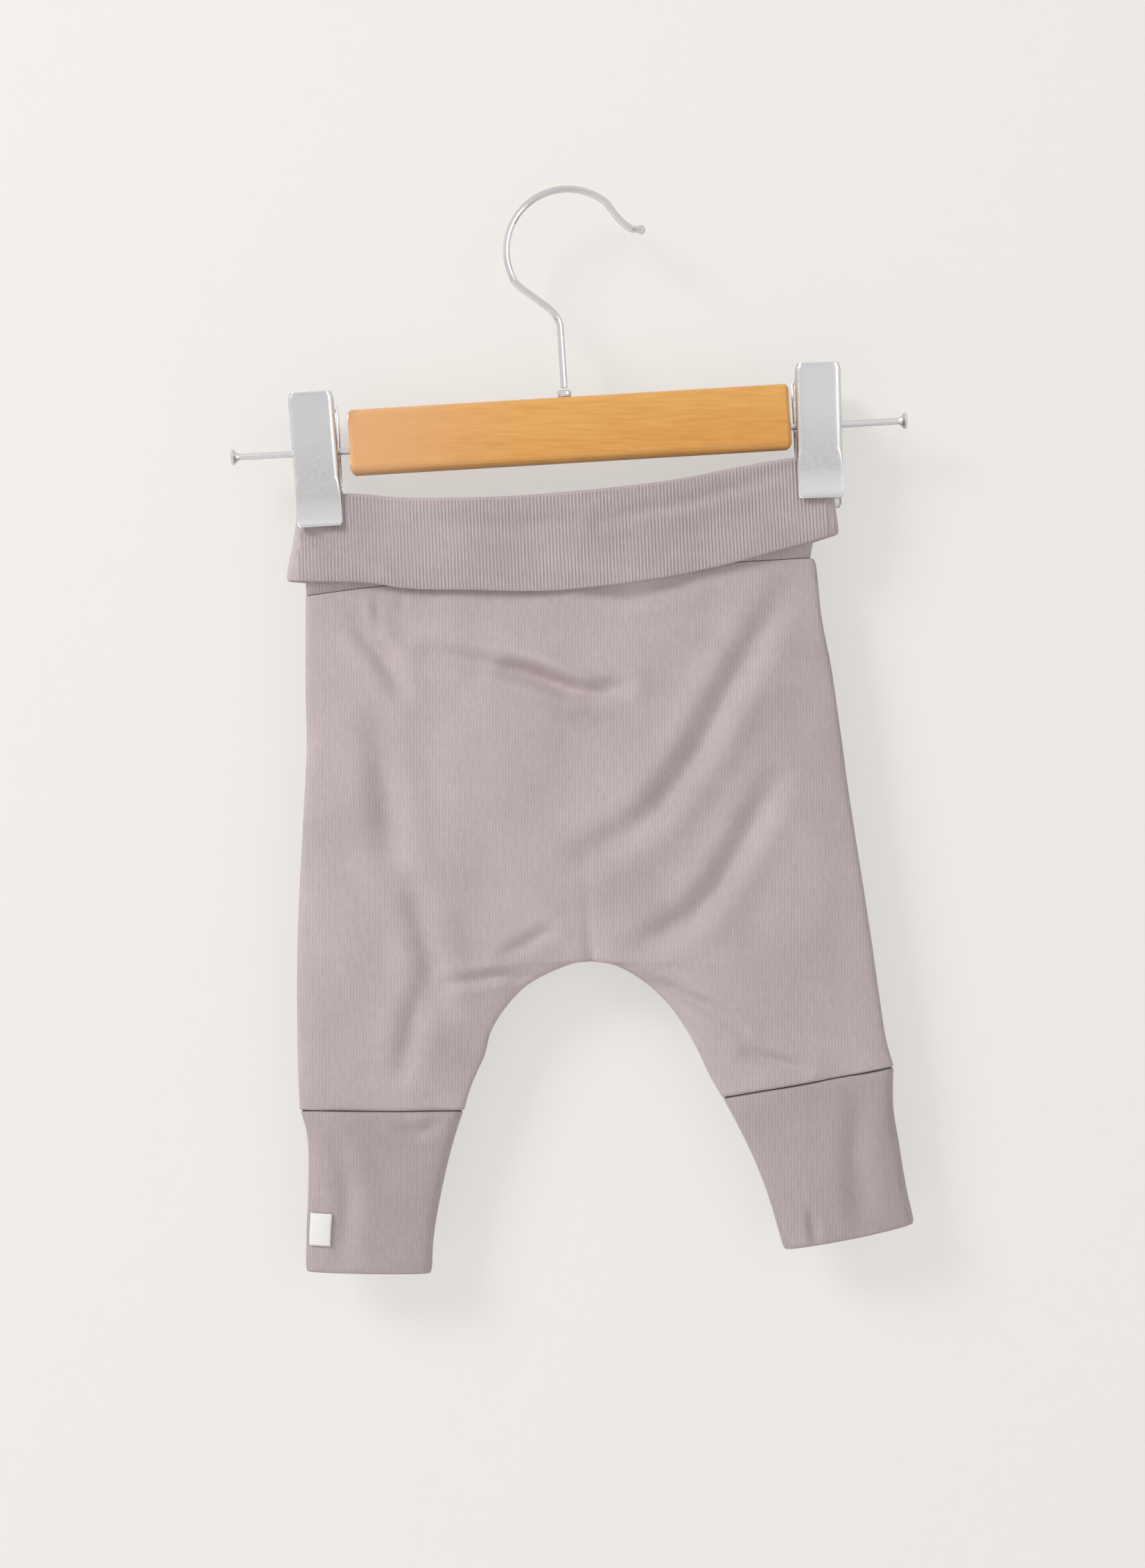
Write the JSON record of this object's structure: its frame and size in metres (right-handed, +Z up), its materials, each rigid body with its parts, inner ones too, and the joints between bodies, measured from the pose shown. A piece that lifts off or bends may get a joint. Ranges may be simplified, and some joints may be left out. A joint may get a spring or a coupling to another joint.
{
  "type": "jogging bottoms on a clip hanger",
  "caption": "Baby jogging bottoms with a ribbed turn-down waist and long cuffs, clipped flat to a wooden bar hanger that hangs by its hook.",
  "frame": {"origin": "inner top of the hook, where a rail carries the hanger", "axes": "+Z up, +X to the right seen from the front, the front of the garment faces -Y"},
  "size_m": [0.2818, 0.0246, 0.4486],
  "materials": {
    "jersey": "soft matt cotton jersey",
    "rib": "matt knitted rib",
    "woven_tape": "smooth woven tape",
    "chrome_wire": "bright chrome plate",
    "satin_chrome": "satin chrome plate",
    "varnished_wood": "honey varnish"
  },
  "bodies": {
    "root": {"body_front": "jersey", "body_back": "jersey", "waistband": "rib", "cuff_left": "jersey", "cuff_right": "jersey", "label": "woven_tape", "hook": "chrome_wire", "hook_collar": "chrome_wire", "bar": "varnished_wood", "rod": "satin_chrome", "clip_left_front": "satin_chrome", "clip_left_back": "satin_chrome", "clip_left_spring": "satin_chrome", "clip_right_front": "satin_chrome", "clip_right_back": "satin_chrome", "clip_right_spring": "satin_chrome"}
  },
  "joints": []
}
